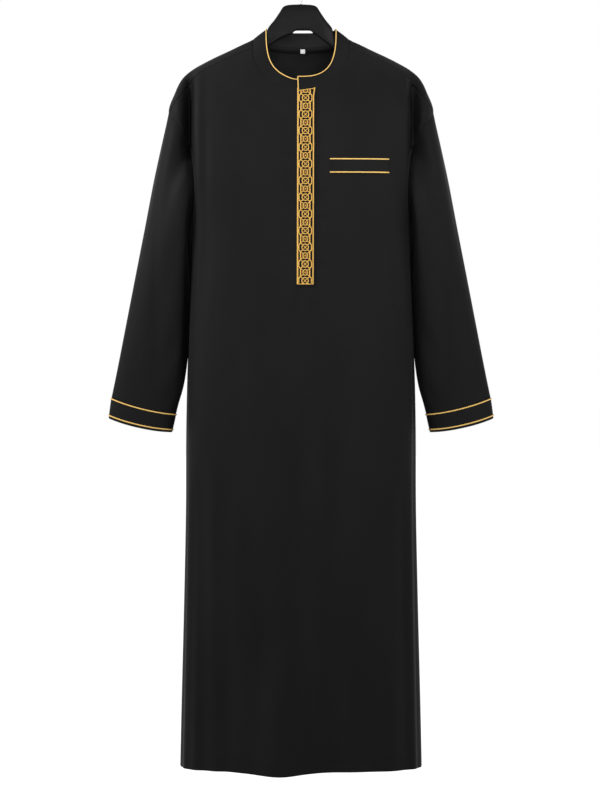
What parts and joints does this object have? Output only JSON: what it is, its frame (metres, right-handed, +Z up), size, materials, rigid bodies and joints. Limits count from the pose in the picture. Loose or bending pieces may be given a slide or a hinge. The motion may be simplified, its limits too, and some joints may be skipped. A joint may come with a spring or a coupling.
{
  "type": "thobe on a hanger",
  "caption": "Long straight stand-collar robe with an embroidered front placket, hanging open and hollow on a broad-shouldered hanger with a hook for a rod or wall peg.",
  "frame": {"origin": "inside of the hook's crown, where a rod or wall hook carries the hanger", "axes": "+X towards the wearer's left sleeve, -Y to the front of the garment, +Z up"},
  "size_m": [0.7212, 0.208, 1.489],
  "materials": {
    "cloth": "matt black suiting with a fine weave and a faint sheen",
    "trim_cloth": "the same black cloth, interlined and pressed flat",
    "gold_thread": "glossy gold rayon thread and satin piping",
    "label": "blank white woven satin tape",
    "hanger_plastic": "black moulded plastic with a low gloss",
    "hook_steel": "plated steel wire"
  },
  "bodies": {
    "root": {"front_panel": "cloth", "back_panel": "cloth", "sleeve_left": "cloth", "sleeve_right": "cloth", "cuff_left": "trim_cloth", "cuff_right": "trim_cloth", "cuff_piping_upper_left": "gold_thread", "cuff_piping_lower_left": "gold_thread", "cuff_piping_upper_right": "gold_thread", "cuff_piping_lower_right": "gold_thread", "collar": "trim_cloth", "collar_piping": "gold_thread", "collar_end_piping": "gold_thread", "placket": "trim_cloth", "embroidery": "gold_thread", "pocket_welt": "trim_cloth", "pocket_piping_top": "gold_thread", "pocket_piping_bottom": "gold_thread", "size_label": "label", "hanger": "hanger_plastic", "hook": "hook_steel"}
  },
  "joints": []
}
